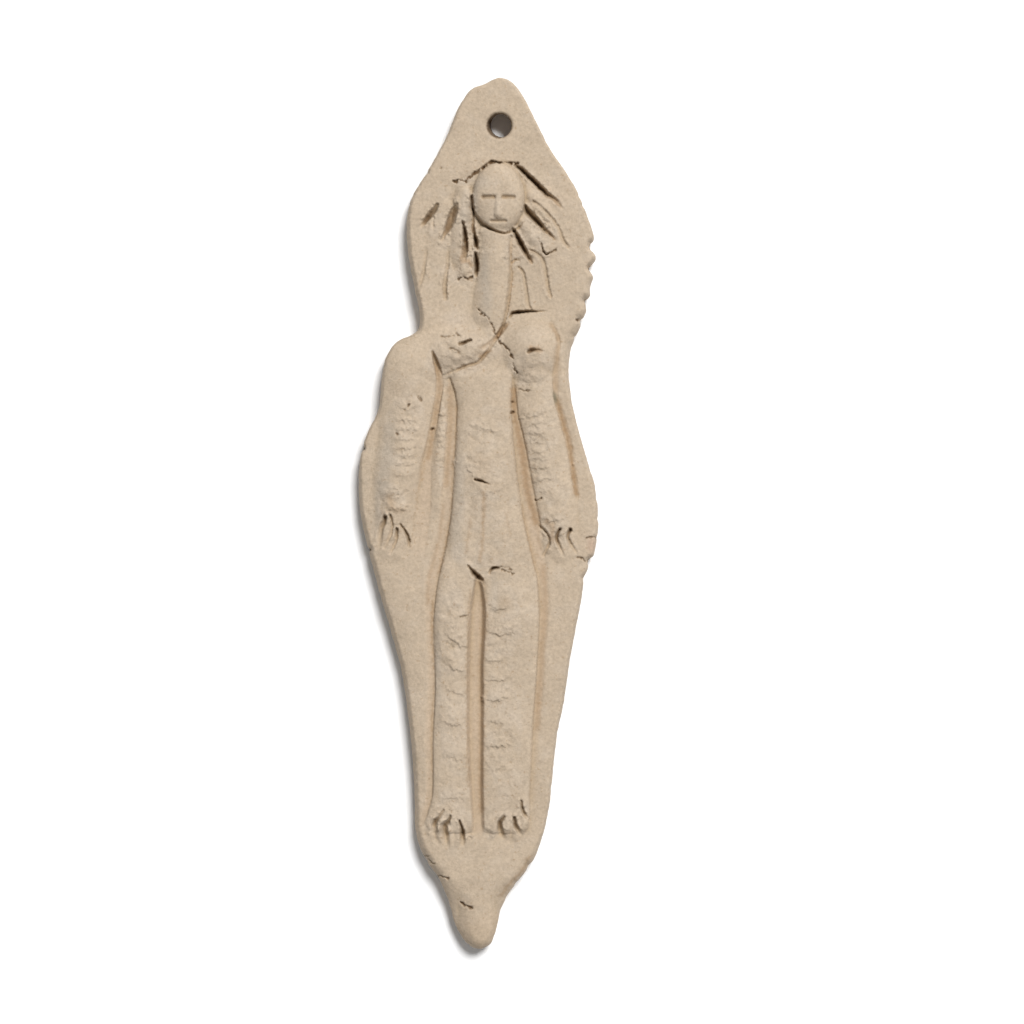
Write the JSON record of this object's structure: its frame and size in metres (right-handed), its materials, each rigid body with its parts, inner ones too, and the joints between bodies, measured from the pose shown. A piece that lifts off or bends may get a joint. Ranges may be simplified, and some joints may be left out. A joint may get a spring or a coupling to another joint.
{
  "type": "female figurine",
  "caption": "Flat spindle-shaped plaque of fired clay with a standing woman in low relief, stick-drawn hair and limbs, and a hanging hole near the top.",
  "frame": {"origin": "middle of the bounding box at the underside, on the surface that the plaque lies on", "axes": "+X to the right of the relief as seen, +Y towards its head and the hanging hole, +Z out of the relief"},
  "size_m": [0.06, 0.2176, 0.0123],
  "materials": {
    "fired_clay": "unglazed, matt, with stick-burnished channels"
  },
  "bodies": {
    "root": {"figurine": "fired_clay"}
  },
  "joints": []
}
